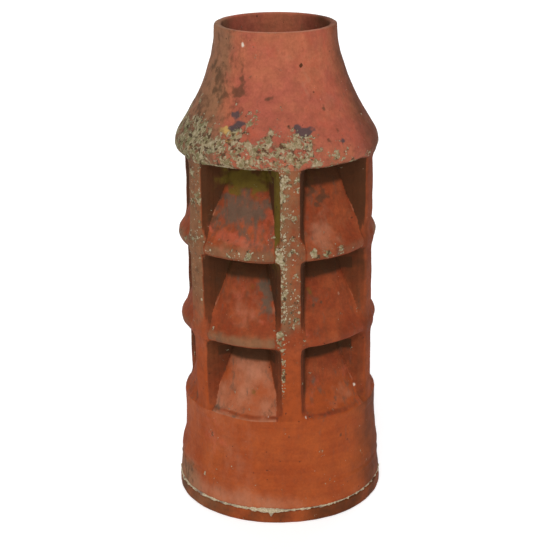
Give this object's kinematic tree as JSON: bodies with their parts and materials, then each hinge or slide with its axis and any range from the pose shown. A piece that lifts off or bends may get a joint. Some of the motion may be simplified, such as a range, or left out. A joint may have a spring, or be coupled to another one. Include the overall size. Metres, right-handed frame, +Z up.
{
  "type": "louvred chimney pot",
  "caption": "Tall round terracotta pot with a drum base, tiers of inward-leaning louvres between upright posts and a bell-shaped hood, for drawing smoke up through it.",
  "frame": {"origin": "centre of the foot's underside, on the pot's axis", "axes": "+Z up along the pot's axis; -Y towards the front, through the middle of one post"},
  "size_m": [0.394, 0.394, 0.9],
  "materials": {
    "hood_terracotta": "matt, weathered red terracotta with lichen round its lower edge",
    "shaft_terracotta": "matt, sooty and algae-stained terracotta",
    "drum_terracotta": "matt, fairly clean orange-brown terracotta",
    "lime_mortar": "rough, pale, broken lime mortar"
  },
  "bodies": {
    "root": {"foot_ring": "drum_terracotta", "mortar_joint": "lime_mortar", "base_drum": "drum_terracotta", "hood": "hood_terracotta", "post_1": "shaft_terracotta", "post_2": "shaft_terracotta", "post_3": "shaft_terracotta", "post_4": "shaft_terracotta", "post_5": "shaft_terracotta", "post_6": "shaft_terracotta", "louvre_upper_1": "shaft_terracotta", "louvre_upper_2": "shaft_terracotta", "louvre_upper_3": "shaft_terracotta", "louvre_upper_4": "shaft_terracotta", "louvre_upper_5": "shaft_terracotta", "louvre_upper_6": "shaft_terracotta", "louvre_middle_1": "shaft_terracotta", "louvre_middle_2": "shaft_terracotta", "louvre_middle_3": "shaft_terracotta", "louvre_middle_4": "shaft_terracotta", "louvre_middle_5": "shaft_terracotta", "louvre_middle_6": "shaft_terracotta", "louvre_lower_1": "shaft_terracotta", "louvre_lower_2": "shaft_terracotta", "louvre_lower_3": "shaft_terracotta", "louvre_lower_4": "shaft_terracotta", "louvre_lower_5": "shaft_terracotta", "louvre_lower_6": "shaft_terracotta"}
  },
  "joints": []
}
